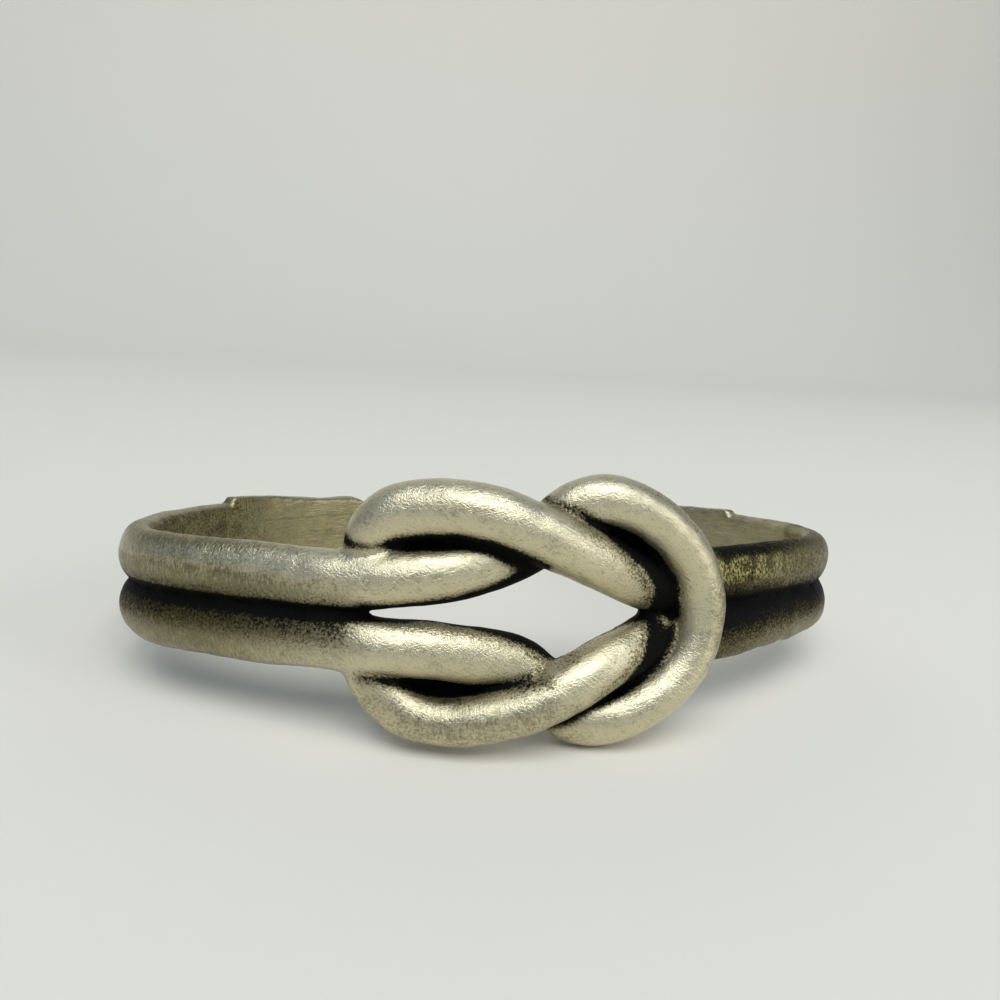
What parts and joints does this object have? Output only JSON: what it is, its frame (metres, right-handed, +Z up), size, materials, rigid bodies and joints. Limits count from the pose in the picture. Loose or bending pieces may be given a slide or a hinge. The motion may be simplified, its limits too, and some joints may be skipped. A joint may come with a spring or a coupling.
{
  "type": "knot cuff bracelet",
  "caption": "Open oval cuff of two half-round rods side by side, tied in a reef knot at the front, with flat end plates either side of the opening.",
  "frame": {"origin": "centre of the bounding box's base: the surface that the cuff lies on", "axes": "+Z up, -Y towards the knot, +Y towards the opening, +X to the right as seen from the knot's side"},
  "size_m": [0.065, 0.0456, 0.0199],
  "materials": {
    "antique_pewter": "brushed antique pewter, dark patina in the grooves"
  },
  "bodies": {
    "root": {"cuff": "antique_pewter"}
  },
  "joints": []
}
